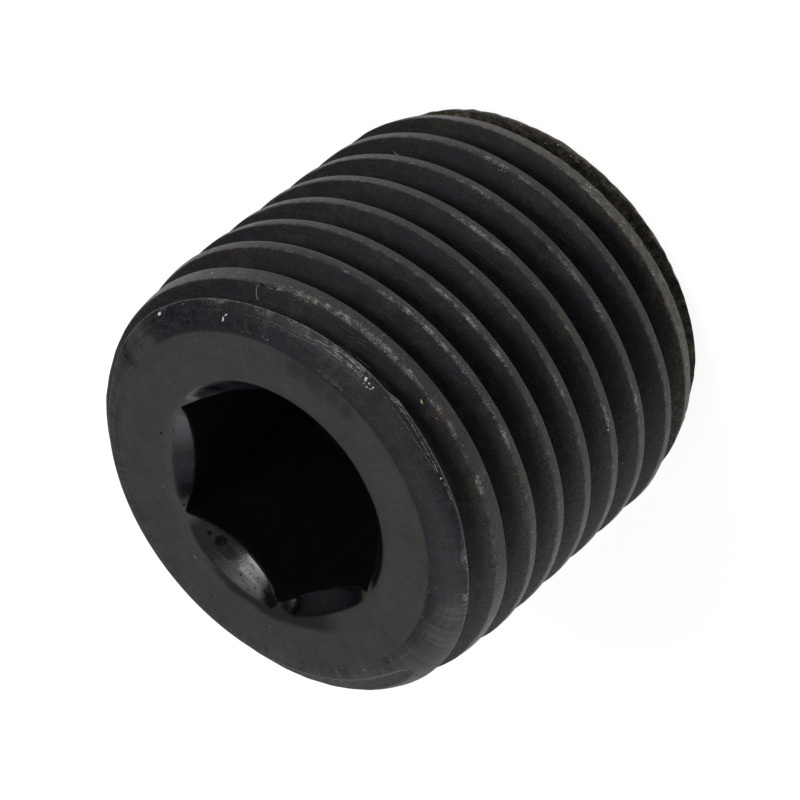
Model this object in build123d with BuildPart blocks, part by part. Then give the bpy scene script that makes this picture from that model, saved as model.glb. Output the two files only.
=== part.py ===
"""Hex socket pipe plug: R 1/4 taper thread, countersunk hexagon socket in its large end.

One piece of steel. It stands on its small end with the socket's mouth up: +Z is the plug's
axis, and the origin is the centre of the small end. Sizes are in millimetres and degrees.
"""
from build123d import *
from math import degrees, floor, radians, tan
import os

# The taper pipe thread: 1/4 inch size, 19 threads per inch, right-handed
plug_length = 12.0
pitch = 25.4 / 19
thread_depth = 0.64 * pitch  # as the pipe thread's form has it
crest_width = 0.227 * pitch  # the flat left between two turns of the groove
flank_angle = 27.5           # each flank's lean from square to the axis
gauge_diameter = 13.157      # over the crests, at the gauge plane
gauge_height = 6.01          # the gauge plane, above the small end
taper = 1 / 16               # loss of diameter per unit of length
groove_drop = 0.515          # middle of the groove below the face, on the +X side

# Large end: a flat face, a rounded shoulder, and a lead-in that keeps the first crests low
face_diameter = 10.76
shoulder_diameter = 12.84
shoulder_height = 0.62
shoulder_radius = 1.25
lead_in_length = 2.75        # from the face to the first full crest

# Small end: a long chamfer, which leaves the last crests low too
foot_diameter = 11.8
foot_chamfer_length = 1.65

# Socket for a 1/4 inch key: broached over a drilled hole, with a countersunk mouth
socket_width = 6.35          # across the flats
socket_depth = 5.6           # of the flats, from the face
mouth_diameter = 7.65
mouth_angle = 90             # the whole countersink
drill_diameter = 6.1
drill_depth = 6.4            # from the face to the drill's shoulder
drill_point_angle = 118      # the whole point

# The groove's cutter stands this far outside the crests
cutter_clearance = 0.1


def crest_radius(height):
    """Radius over full crests, at a height above the small end."""
    return gauge_diameter / 2 + (height - gauge_height) * taper / 2


shoulder_foot = plug_length - shoulder_height
lead_in_foot = plug_length - lead_in_length

# The groove's middle passes the +X side at these heights, from below the foot to above the face
turns_down = floor((plug_length - groove_drop) / pitch) + 1
groove_foot = plug_length - groove_drop - turns_down * pitch
groove_turns = turns_down + 1
root_radius = crest_radius(groove_foot) - thread_depth
flank_slope = tan(radians(flank_angle))
cutter_top = thread_depth + cutter_clearance
cutter_half = (pitch - crest_width) / 2 + cutter_clearance * flank_slope
root_half = cutter_half - cutter_top * flank_slope

with BuildPart() as plug:
    # The turned blank
    with BuildSketch(Plane.YZ):
        with BuildLine():
            Line((0, plug_length), (face_diameter / 2, plug_length))
            RadiusArc(
                (face_diameter / 2, plug_length),
                (shoulder_diameter / 2, shoulder_foot),
                shoulder_radius,
            )
            Polyline(
                (shoulder_diameter / 2, shoulder_foot),
                (crest_radius(lead_in_foot), lead_in_foot),
                (crest_radius(foot_chamfer_length), foot_chamfer_length),
                (foot_diameter / 2, 0),
                (0, 0),
                (0, plug_length),
            )
        make_face()
    revolve(axis=Axis.Z)

    # The thread: one helical groove, cut a turn at a time
    groove_path = Edge.make_helix(
        pitch,
        groove_turns * pitch,
        root_radius,
        (0, 0, groove_foot),
        angle=degrees(taper / 2),
    )
    for turn in range(groove_turns):
        path = groove_path.trim(turn / groove_turns, (turn + 1) / groove_turns)
        start = path @ 0
        with BuildSketch(Plane(start, x_dir=(start.X, start.Y, 0), z_dir=path % 0)):
            with BuildLine():
                Polyline(
                    (0, -root_half),
                    (cutter_top, -cutter_half),
                    (cutter_top, cutter_half),
                    (0, root_half),
                    close=True,
                )
            make_face()
        sweep(path=path, is_frenet=True, mode=Mode.SUBTRACT)

    # The socket: flats, countersunk mouth and the drilled hole below the flats
    with BuildSketch(Plane.XY.offset(plug_length)):
        RegularPolygon(socket_width / 2, 6, major_radius=False)
    extrude(amount=-socket_depth, mode=Mode.SUBTRACT)
    mouth_depth = mouth_diameter / 2 / tan(radians(mouth_angle / 2))
    point_height = drill_diameter / 2 / tan(radians(drill_point_angle / 2))
    with Locations((0, 0, plug_length)):
        Cone(
            0,
            mouth_diameter / 2,
            mouth_depth,
            align=(Align.CENTER, Align.CENTER, Align.MAX),
            mode=Mode.SUBTRACT,
        )
        Cylinder(
            drill_diameter / 2,
            drill_depth,
            align=(Align.CENTER, Align.CENTER, Align.MAX),
            mode=Mode.SUBTRACT,
        )
    with Locations((0, 0, plug_length - drill_depth)):
        Cone(
            0,
            drill_diameter / 2,
            point_height,
            align=(Align.CENTER, Align.CENTER, Align.MAX),
            mode=Mode.SUBTRACT,
        )

plug.part.label = "plug"
os.makedirs("parts", exist_ok=True)
export_step(plug.part, "parts/plug.step")
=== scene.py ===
"""Dresses the hex socket taper plug: worn black steel on a pale light table."""
import math

import bmesh
import bpy
import numpy as np
from mathutils import Matrix, Vector
from mathutils.bvhtree import BVHTree


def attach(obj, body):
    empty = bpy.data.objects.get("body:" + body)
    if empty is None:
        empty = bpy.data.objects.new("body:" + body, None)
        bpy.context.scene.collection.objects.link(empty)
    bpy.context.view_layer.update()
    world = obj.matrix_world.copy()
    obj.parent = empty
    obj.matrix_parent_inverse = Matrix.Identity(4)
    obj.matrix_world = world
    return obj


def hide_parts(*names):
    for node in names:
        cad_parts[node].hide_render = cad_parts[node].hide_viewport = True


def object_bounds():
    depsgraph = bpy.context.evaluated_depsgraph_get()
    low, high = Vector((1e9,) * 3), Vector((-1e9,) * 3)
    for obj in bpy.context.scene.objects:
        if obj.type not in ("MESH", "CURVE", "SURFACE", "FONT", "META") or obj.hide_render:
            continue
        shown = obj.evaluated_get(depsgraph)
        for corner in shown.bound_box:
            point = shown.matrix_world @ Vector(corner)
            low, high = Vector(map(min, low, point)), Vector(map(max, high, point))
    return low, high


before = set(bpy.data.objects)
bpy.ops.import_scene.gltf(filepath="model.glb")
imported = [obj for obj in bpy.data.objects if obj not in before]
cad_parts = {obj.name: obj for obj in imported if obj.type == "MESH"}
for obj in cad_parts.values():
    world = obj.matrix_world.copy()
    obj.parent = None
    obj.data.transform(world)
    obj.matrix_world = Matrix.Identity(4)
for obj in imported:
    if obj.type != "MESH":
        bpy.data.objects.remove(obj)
CAD_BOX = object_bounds()

bl_info = {
    "name": "Hex Socket Taper Plug",
    "version": (1, 0, 0),
    "blender": (4, 5, 0),
    "location": "View3D > Sidebar > Plug",
    "description": "Builds the black steel taper plug, its wear and its studio",
    "category": "Object",
}

MM = 0.001
FAR = 9.0  # stands for nowhere near, in millimetres


def length(name, about, millimetres, top=50.0):
    """A length in the sidebar, given here in millimetres."""
    return bpy.props.FloatProperty(
        name=name, description=about, default=millimetres * MM, min=0.0, max=top * MM, precision=5,
        unit="LENGTH", subtype="DISTANCE",
    )


def turn(name, about, degrees):
    """An angle in the sidebar, given here in degrees."""
    return bpy.props.FloatProperty(
        name=name, description=about, default=math.radians(degrees), unit="ROTATION", subtype="ANGLE"
    )


def share(name, about, value, top=1.0):
    """A plain amount, from nothing to top."""
    return bpy.props.FloatProperty(name=name, description=about, default=value, min=0.0, max=top)


def colour(name, about, rgb):
    """A colour in the sidebar, as linear red, green and blue."""
    return bpy.props.FloatVectorProperty(
        name=name, description=about, default=rgb, size=3, min=0.0, max=1.0, subtype="COLOR"
    )


# ---- sizes and colours ----


class PlugSizes(bpy.types.PropertyGroup):
    """Sizes of the plug, the same as those of the solid part."""

    plug_length: length("Length", "From the foot to the face", (CAD_BOX[1].z - CAD_BOX[0].z) / MM)
    pitch: length("Pitch", "From one crest to the next, 19 to the inch", 25.4 / 19)
    flank_angle: turn("Flank angle", "Lean of each side of the groove", 27.5)
    gauge_diameter: length("Gauge diameter", "Across the crests at the gauge height", 13.157)
    gauge_height: length("Gauge height", "Where the gauge diameter is taken", 6.01)
    taper: share("Taper", "Growth of the diameter for each unit of height", 1 / 16)
    groove_drop: length("Groove start", "Middle of the first groove below the face, at zero azimuth", 0.515)
    face_diameter: length("Face diameter", "Flat of the socket end", 10.76)
    shoulder_diameter: length("Shoulder diameter", "Foot of the rounded shoulder", 12.84)
    shoulder_height: length("Shoulder height", "Height of the rounded shoulder", 0.62)
    lead_in_length: length("Lead-in", "Where the body reaches its full cone, below the face", 2.75)
    foot_diameter: length("Foot diameter", "Flat at the small end", 11.8)
    foot_chamfer_length: length("Foot chamfer", "Height of the bevel at the small end", 1.65)
    socket_width: length("Socket width", "Across the flats of the key socket", 6.35)
    socket_depth: length("Socket depth", "From the face to the end of the flats", 5.6)
    mouth_diameter: length("Mouth diameter", "Countersink at the face", 7.65)
    mouth_angle: turn("Mouth angle", "Whole angle of the countersink", 90.0)
    drill_diameter: length("Drill diameter", "Hole under the socket", 6.1)
    drill_depth: length("Drill depth", "From the face to the shoulder of the drill point", 6.4)
    drill_point_angle: turn("Drill point", "Whole angle of the drill point", 118.0)


class PlugWear(bpy.types.PropertyGroup):
    """How the sharp corners of the solid part are worn."""

    near_round: length("Leading corner", "Rounding of each crest on its socket side", 0.11)
    first_round: length("First leading corner", "How much more the first crest is rounded", 0.10)
    near_dip: length("Leading corner on the flank", "How far that rounding goes down the flank", 0.045)
    far_round: length("Trailing corner", "Rounding of each crest on its foot side", 0.03)
    lip_round: length("Mouth lip", "Rounding of the countersink's rim", 0.10)
    socket_round: length("Socket corner", "Rounding where the flats meet the countersink", 0.05)
    crest_waver: share("Crest waver", "How unevenly the leading corners are worn", 0.55)
    foot_round: length("Foot corner", "Rounding of the foot's rim", 0.12)
    foot_rough: length("Foot roughness", "Height of the rough scale on the foot bevel", 0.02)
    flank_wave: length("Flank waver", "How uneven the cut surfaces are", 0.006)
    first_swell: length("First crest swell", "How far one side of the first crest stands out", 0.085)
    crest_swell: length("Crest swell", "How far one side of the other crests stands out", 0.045)


class PlugFinish(bpy.types.PropertyGroup):
    """Colours of the black finish and of what shows through it."""

    oxide: colour("Oxide", "The black finish in the groove", (0.0078, 0.0048, 0.0100))
    # also the colour that the flanks of one side are painted towards their crests, as painted light
    matte: colour("Matte oxide", "The paler finish of the face", (0.0502, 0.0472, 0.0455))
    warm: colour("Warm oxide", "Browner clouds on the face", (0.0440, 0.0412, 0.0380))
    olive: colour("Oil stain", "Brown-green oil left beside the crests", (0.0215, 0.0180, 0.0100))
    shoulder: colour("Shoulder", "The finish of the rounded shoulder", (0.0128, 0.0098, 0.0150))
    crest: colour("Crest", "Rubbed finish on the crests", (0.0095, 0.0085, 0.0098))
    lens: colour("Countersink", "Glossy finish of the countersink", (0.0082, 0.0066, 0.0104))
    soot: colour("Soot", "Dirt in the stained places", (0.0048, 0.0034, 0.0026))
    pit: colour("Pit", "Bottom of the dark pits", (0.0012, 0.0010, 0.0022))
    socket_dark: colour("Socket", "Dark clouds on the socket's flats", (0.0035, 0.0033, 0.0045))
    socket_light: colour("Socket, lighter", "Light clouds on the socket's flats", (0.0055, 0.0055, 0.0075))
    bare: colour("Bare steel", "Steel where the finish has gone", (0.52, 0.51, 0.50))
    # also the colour of one painted highlight on the shoulder's rim, laid as the first of the bright chips
    lint_and_highlight: colour("Chips", "Bright chips", (0.74, 0.75, 0.78))
    dust: colour("Dust", "Grey specks of dust and fibre", (0.26, 0.26, 0.24))
    bright_scratch: colour("Bright scratch", "Steel torn bare", (0.34, 0.34, 0.35))
    faint_scratch: colour("Faint scratch", "Steel that the finish still veils", (0.11, 0.11, 0.11))
    dark_scratch: colour("Dark scratch", "Dirt in a gouge", (0.0020, 0.0016, 0.0020))
    amber: colour("Amber chip", "A chip of dried oil", (0.55, 0.52, 0.22))


class PlugStudio(bpy.types.PropertyGroup):
    """Light table, lamp and camera."""

    table: colour("Light table", "Colour of the floor", (0.24, 0.24, 0.24))
    table_width: length("Table width", "Across the light table", 5000.0, 9000.0)
    glow: share("Table glow", "Light that the table gives of its own", 0.90, 4.0)
    key_power: share("Key lamp", "Power of the key lamp, in watts", 0.03, 100.0)
    key_width: length("Key lamp width", "Across the key lamp", 110.0, 900.0)
    key_distance: length("Key lamp distance", "From the plug's middle", 500.0, 900.0)
    azimuth: turn("Camera azimuth", "Round the plug, zero looking along Y", -9.0968)
    elevation: turn("Camera elevation", "Above the table", 39.0518)
    roll: turn("Camera roll", "About the line of sight", -129.4502)
    distance: length("Camera distance", "From the point that it looks at", 263.307, 900.0)
    lens: length("Lens", "Focal length on a 36 mm sensor", 422.19, 900.0)


# ---- form ----

# The thread's depth and the width of its crest, as shares of the pitch
DEPTH_SHARE, CREST_SHARE = 0.64, 0.227
# Curves down the groove, as the angle turned from where it first crosses the +X side, in degrees,
# and a distance in millimetres. They are the same wherever the skin is cut.
# How far the groove's upper wall stands nearer the face than a true thread's
SET_BACK = (
    (-400, 0.03), (-260, 0.03), (-190, 0.24), (-160, 0.27), (-141, 0.25), (-137, 0.205), (-131, 0.173),
    (-120, 0.13), (-112, 0.10), (-107, 0.077), (-99.5, 0.0), (-98, 0.05), (-96, 0.093), (-88, 0.058),
    (-70, 0.085), (-60, 0.125), (-40, 0.11), (-16, 0.122), (0, 0.21), (20, 0.39), (50, 0.47), (100, 0.38),
    (130, 0.30),
)
# How much deeper than a true thread's the groove is where it runs out
SUNK = ((-5, 0.0), (20, 0.07), (150, 0.07), (200, 0.0))
# How far the end of the groove, where it leaves the face, stands below a true thread's
LOWERED = ((85, 0.0), (115, 0.11), (160, 0.13), (200, 0.0))
# How far the countersink's rim stands outside its true circle, by azimuth in degrees
MOUTH_LEAN = (
    (-180, -0.045), (-120, 0.015), (-60, 0.015), (0, -0.045), (15, -0.165), (35, -0.165), (50, -0.105),
    (62, -0.025), (75, 0.145), (118, 0.155), (130, 0.075), (140, -0.065), (152, -0.185), (165, -0.125),
    (180, -0.045),
)


def curve(points, at):
    """Value of a curve, given as points of place and value, at each place."""
    return np.interp(at, *zip(*points))


def mouth_lean(psi):
    """How far the countersink's rim stands outside its true circle, with the curve's corners eased."""
    near = (psi[:, None] + np.linspace(-8.0, 8.0, 9) + 180.0) % 360.0 - 180.0
    return curve(MOUTH_LEAN, near).mean(axis=-1)


class Form:
    """The plug's sizes in millimetres, and the shape that they give."""

    def __init__(self, sizes, wear):
        for group in (sizes, wear):
            for key, prop in group.bl_rna.properties.items():
                if prop.type == "FLOAT":
                    setattr(self, key, getattr(group, key) / (MM if prop.unit == "LENGTH" else 1.0))
        self.thread_depth = DEPTH_SHARE * self.pitch
        self.slope = math.tan(self.flank_angle)
        self.root_half = (self.pitch - CREST_SHARE * self.pitch) / 2 - self.thread_depth * self.slope
        self._lay_blank()

    def crest_radius(self, z):
        """Radius of the cone that the crests lie on."""
        return self.gauge_diameter / 2 + (z - self.gauge_height) * self.taper / 2

    def _lay_blank(self):
        """Outline of the body before its groove: rounded shoulder, lead-in, cone and foot bevel."""
        face, shoulder, foot = self.face_diameter / 2, self.shoulder_diameter / 2, self.foot_diameter / 2
        round_foot = self.plug_length - self.shoulder_height
        cone_top = self.plug_length - self.lead_in_length
        sweep = np.linspace(math.pi / 2, 0.0, 160)
        r = [face + (shoulder - face) * np.cos(sweep)]
        z = [round_foot + self.shoulder_height * np.sin(sweep)]
        bevel_top = self.crest_radius(self.foot_chamfer_length)
        bevel = (bevel_top - foot) / self.foot_chamfer_length
        bevel_end = self.foot_round + 0.005
        corners = (
            (shoulder, round_foot), (self.crest_radius(cone_top), cone_top),
            (bevel_top, self.foot_chamfer_length), (foot + bevel * bevel_end, bevel_end),
        )
        for (r0, z0), (r1, z1) in zip(corners, corners[1:]):
            r.append(np.linspace(r0, r1, 60)[1:])
            z.append(np.linspace(z0, z1, 60)[1:])
        # the foot's worn rim, and a cone on below it that the foot's plane cuts off
        below = 2.0
        low = np.linspace(self.foot_round, 0.0, 12)
        worn = 0.8 * (self.foot_round - np.sqrt(self.foot_round ** 2 - (self.foot_round - low) ** 2))
        r += [foot + bevel * low - worn, [foot - worn[-1] - below]]
        z += [low, [-below]]
        self.blank_r, self.blank_z = np.concatenate(r), np.concatenate(z)
        step = np.hypot(np.diff(self.blank_r), np.diff(self.blank_z))
        self.blank_t = np.concatenate([[0.0], np.cumsum(step)])

    def blank(self, z):
        """Radius of the outline at height z."""
        return np.interp(-z, -self.blank_z, self.blank_r)

    def along(self, z):
        """Distance along the outline from the face's rim."""
        return np.interp(-z, -self.blank_z, self.blank_t)

    def at(self, t):
        """Radius and height at a distance along the outline."""
        return np.interp(t, self.blank_t, self.blank_r), np.interp(t, self.blank_t, self.blank_z)

    def groove(self, z, middle, back, sunk):
        """Radius of the groove's surface at height z, for a groove with its middle at a given height."""
        above = z - middle
        off = np.where(above > 0, np.maximum(above - back, 0.0), above)
        apex = self.crest_radius(z) - self.thread_depth - self.root_half / self.slope - sunk
        return apex + np.sqrt(off * off + self.root_half ** 2) / self.slope

    def groove_edges(self, middle, back, sunk):
        """Heights where the groove leaves the outline, above and below. Equal where it doesn't reach it."""
        span = np.linspace(0.95, -2.6, 1421)
        index, last = np.arange(span.size), span.size - 1
        z = np.minimum(middle[:, None] + span, self.plug_length)
        gap = self.groove(z, middle[:, None], back[:, None], sunk[:, None]) - self.blank(z)
        deepest = np.argmin(gap, axis=1)
        rows = np.arange(len(middle))
        is_open = gap[rows, deepest] < -1e-4
        edges = []
        for down in (-1, 1):
            clear = (gap >= 0) & ((index - deepest[:, None]) * down >= 0)
            if down < 0:
                outer = np.where(clear.any(axis=1), last - np.argmax(clear[:, ::-1], axis=1), 0)
            else:
                outer = np.where(clear.any(axis=1), np.argmax(clear, axis=1), last)
            a, b = z[rows, outer], z[rows, np.clip(outer - down, 0, last)]
            for _ in range(40):
                mid = (a + b) / 2
                free = self.groove(mid, middle, back, sunk) >= self.blank(mid)
                a, b = np.where(free, mid, a), np.where(free, b, mid)
            edges.append(np.where(is_open, a, z[rows, deepest]))
        return *edges, is_open


def ripple(points, wavelength, seed, waves=28):
    """Smooth random height, about -1 to 1, the same wherever the point is the same."""
    rng = np.random.default_rng(seed)
    heading = rng.normal(size=(waves, 3))
    heading /= np.linalg.norm(heading, axis=1)[:, None]
    number = 2 * math.pi / (wavelength * rng.uniform(0.7, 1.5, waves))
    phase = rng.uniform(0, 2 * math.pi, waves)
    total = np.zeros(points.shape[:-1])
    for k in range(waves):
        total += np.sin(points @ (heading[k] * number[k]) + phase[k])
    return total / math.sqrt(waves) * 0.9


def curve_between(p0, corner, p2, count):
    """Rows of a rounded corner, without its two ends."""
    s = ((np.arange(count) + 1.0) / (count + 1.0))[None, :, None]
    return (1 - s) ** 2 * p0[:, None, :] + 2 * s * (1 - s) * corner[:, None, :] + s * s * p2[:, None, :]


def smooth(value, low, high):
    """0 below low and 1 above high, smoothly between."""
    s = np.clip((value - low) / (high - low), 0.0, 1.0)
    return s * s * (3.0 - 2.0 * s)


def within(value, rise, full, fade, end):
    """1 from full to fade, and 0 before rise and after end."""
    return smooth(value, rise, full) * smooth(-value, -end, -fade)


# What each point of the skin notes for its material, with the value that it has elsewhere:
# edge   distance from the leading corner, in mm, over 0 on the flank and under 0 on the crest
# trail  distance from the crest's trailing corner, in mm
# depth  0 on a crest and 1 at the root
# head   1 on the face and the shoulder
# lens   1 on the countersink
NOTES = {"edge": FAR, "trail": FAR, "depth": 0.0, "head": 0.0, "lens": 0.0}
SKIN, SOCKET, FOOT = range(3)  # the plug's materials
SEAM = -260.0  # azimuth where the skin is cut, in degrees
TURN_RADIUS = 6.5  # of the line along which the wear wavers
CREST_ROWS, SHOULDER_ROWS, CORNER_ROWS = 4, 19, 5
FIRST_TURN, LAST_TURN = -1, 9
# The countersink, in millimetres: how far inside its rim its cone is measured, how much shallower it is
# and how much wider its lip at the hexagon's corners, and the height of its unevenness
CONE_INSET, CORNER_RISE, CORNER_LIP, MOUTH_RIPPLE = 0.05, 0.09, 0.12, 0.02
# How much of the groove's width each side's wear may take at most, and the same of a crest's width
GROOVE_SHARE, LEAD_SHARE, TRAIL_SHARE = 0.42, 0.62, 0.3
# Where crests stand out: heights and azimuths, as start, full, fading and end
FIRST_SWELL = (9.4, 10.4, 11.2, 11.6), (12.0, 35.0, 200.0, 215.0)
CREST_SWELL = (0.6, 1.6, 9.4, 10.4), (150.0, 175.0, 212.0, 232.0)


class Kept:
    """Values kept together by name."""

    def __init__(self, **values):
        self.__dict__.update(values)


def note(mesh, name, values):
    """Notes one value at each point of a mesh."""
    made = mesh.attributes.new(name, "FLOAT", "POINT")
    made.data.foreach_set("value", values.reshape(-1).astype(np.float32))


class Rows:
    """Rows of points down every column of the skin, from the drill point round to the foot."""

    def __init__(self, psi):
        self.psi = psi
        self.parts = []
        self.noted = {key: [] for key in NOTES}
        self.kinds = []

    def add(self, r, z, kind, **notes):
        """Adds rows at radius r and height z, with a value for every column or every point."""
        r, z = np.broadcast_arrays(np.asarray(r, float), np.asarray(z, float))
        if r.ndim == 1:
            r, z = r[:, None], z[:, None]
        self.parts.append(np.stack([r, z], -1))
        for key, blank in NOTES.items():
            value = np.asarray(notes.get(key, blank), float)
            if value.ndim == 1:
                value = value[:, None]
            self.noted[key].append(np.broadcast_to(value, r.shape).copy())
        self.kinds += [kind] * r.shape[1]

    def lay(self, points, kind, **notes):
        """Adds rows at points of radius and height."""
        self.add(points[..., 0], points[..., 1], kind, **notes)

    def join(self):
        """Puts all the rows in one block."""
        self.points = np.concatenate(self.parts, axis=1)
        self.noted = {key: np.concatenate(value, axis=1) for key, value in self.noted.items()}

    def spots(self):
        """Every point in space."""
        angle = np.radians(self.psi)[:, None]
        r, z = self.points[..., 0], self.points[..., 1]
        return np.stack([r * np.cos(angle), r * np.sin(angle), z], -1)


def column_angles():
    """Azimuths of the columns, in degrees: closer on the socket's near side and at the groove's step."""
    return np.unique(np.concatenate([
        np.arange(-200.0, 10.0, 1.0), np.arange(-101.0, -95.0, 0.5), np.arange(SEAM, -200.0, 1.5),
        np.arange(10.0, SEAM + 360.01, 1.5),
    ]).round(4))


def lay_hole(form, rows, hexagon):
    """Drill point, drill wall and the lower end of the flats."""
    drill = np.full(rows.psi.size, form.drill_diameter / 2)
    wall = form.plug_length - form.drill_depth
    point = wall - form.drill_diameter / 2 / math.tan(form.drill_point_angle / 2)
    for f in (0.0, 0.35, 0.7, 1.0):
        rows.add(drill * f, point + (wall - point) * f, SOCKET)
    for r in (drill, hexagon):
        rows.add(r, form.plug_length - form.socket_depth, SOCKET)


def lay_mouth(form, rows, hexagon, corner):
    """Flats, countersink and flat face. The countersink is a little uneven, and dies out at the corners."""
    psi, top = rows.psi, form.plug_length
    face = {"edge": 0.0, "head": 1.0}
    rim = form.mouth_diameter / 2 + mouth_lean(psi)
    spot = np.stack([np.cos(np.radians(psi)), np.sin(np.radians(psi)), 0 * psi], -1) * rim[:, None]
    drop = (form.mouth_diameter / 2 - CONE_INSET - hexagon) / math.tan(form.mouth_angle / 2)
    drop = drop - CORNER_RISE * corner + MOUTH_RIPPLE * ripple(spot, 2.5, 21)
    wide = np.hypot(rim - hexagon, drop)
    along = np.stack([rim - hexagon, drop], -1) / wide[:, None]
    meet = np.stack([hexagon, top - drop], -1)
    edge = np.stack([rim, np.full(psi.size, top)], -1)
    bend = np.minimum(form.socket_round, 0.3 * wide)[:, None]
    lip = np.minimum(form.lip_round * (1.0 + 0.8 * within(psi, -15, 15, 40, 65)), 0.45 * wide)[:, None]
    below, above = meet - bend * (0.0, 1.0), meet + bend * along
    inner, outer = edge - lip * along, edge + (lip + CORNER_LIP * corner[:, None]) * (1.4, 0.0)

    flats = top - form.socket_depth
    for f in (0.1, 0.4, 0.7, 0.9):
        rows.add(hexagon, flats + (below[:, 1] - flats) * f, SOCKET)
    rows.lay(below, SOCKET)
    seen = 1.0 - corner
    rows.lay(curve_between(below, meet, above, 3), SKIN, **face, lens=seen[:, None] * (0.6, 0.8, 0.9))
    for f in (0.0, 0.33, 0.67, 1.0):
        rows.lay(above + (inner - above) * f, SKIN, **face, lens=seen)
    rows.lay(curve_between(inner, edge, outer, 4), SKIN, **face, lens=seen[:, None] * (0.8, 0.5, 0.25, 0.08))
    rows.lay(outer, SKIN, **face)
    for f in (0.15, 0.3, 0.45, 0.6, 0.75, 0.88):
        rows.add(outer[:, 0] + (form.face_diameter / 2 - outer[:, 0]) * f, top, SKIN, **face)


def lay_socket(form, rows):
    """The key socket and the flat face round it."""
    lean = (rows.psi % 60.0) - 30.0
    hexagon = form.socket_width / 2 / np.cos(np.radians(lean))
    # how near each column is to one of the hexagon's corners, but for those that the countersink cuts
    corner = smooth(abs(lean), 20.0, 30.0) * (1.0 - within(rows.psi, -176.0, -164.0, -28.0, -16.0))
    lay_hole(form, rows, hexagon)
    lay_mouth(form, rows, hexagon, corner)


def cut_groove(form, psi, turned):
    """Where one turn of the groove lies at each column, and how widely its corners are worn."""
    top = form.plug_length
    middle = top - form.groove_drop + form.pitch * turned / 360.0 - curve(LOWERED, turned)
    back, sunk = curve(SET_BACK, turned), curve(SUNK, turned)
    upper, lower, is_open = form.groove_edges(middle, back, sunk)
    # a groove that has run out above the face draws its empty rows back to the rim
    slide = np.where(is_open, 1.0, np.clip(1.0 - (middle - top) / 0.2, 0.0, 1.0))

    # the wear wavers along the thread
    reach = GROOVE_SHARE * np.where(is_open, upper - lower, 0.0)
    round_about = np.stack([np.cos(np.radians(psi)), np.sin(np.radians(psi))], -1) * TURN_RADIUS
    spot = np.concatenate([round_about, lower[:, None]], -1)
    worn = 1.0 + form.crest_waver * (0.55 * ripple(spot, 2.2, 11) + 0.5 * ripple(spot, 0.55, 12))
    worn = np.clip(worn, 0.25, 2.2)
    broad = form.near_round + form.first_round * within(turned, -130.0, -105.0, -50.0, -25.0)
    return Kept(
        middle=middle, back=back, sunk=sunk, lower=lower, is_open=is_open,
        t_upper=form.along(upper) * slide, t_lower=form.along(lower) * slide,
        near=np.minimum(broad * worn, reach), dip=np.minimum(form.near_dip * worn, reach),
        far=np.minimum(form.far_round, reach), broader=broad - form.near_round,
        head=smooth(turned, -300.0, -235.0),
    )


def lay_crest(form, rows, m, lip, cut):
    """Leading corner and crest between the last groove's lip and this groove."""
    lead = np.minimum(lip.lead, LEAD_SHARE * cut.width)
    if m > FIRST_TURN:
        s = np.linspace(0, 1, CORNER_ROWS + 2)[None, 1:-1]
        rows.lay(
            curve_between(lip.flank, lip.edge, np.stack(form.at(lip.t + lead), -1), CORNER_ROWS), SKIN,
            edge=lip.dip[:, None] * (1 - s) ** 2 - lead[:, None] * s ** 2 + lip.shift[:, None] * s,
            trail=np.where(cut.is_open, cut.width, FAR)[:, None] - lead[:, None] * s, head=cut.head,
        )
    u = np.linspace(0.0, 1.0, SHOULDER_ROWS if m < 2 else CREST_ROWS)[None, :]
    if m == 1:
        # past the shoulder a crest needs few rows, so the others lie on them
        u = np.where(rows.psi[:, None] > 30.0, u, np.round(u * (CREST_ROWS - 1)) / (CREST_ROWS - 1))
    t = (lip.t + lead)[:, None] + (cut.t_upper - cut.far_on - lip.t - lead)[:, None] * u
    rows.add(
        *form.at(t), SKIN, edge=(lip.t + lip.shift)[:, None] - t,
        trail=np.where(cut.is_open, cut.t_upper, FAR)[:, None] - t, head=cut.head,
    )


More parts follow.
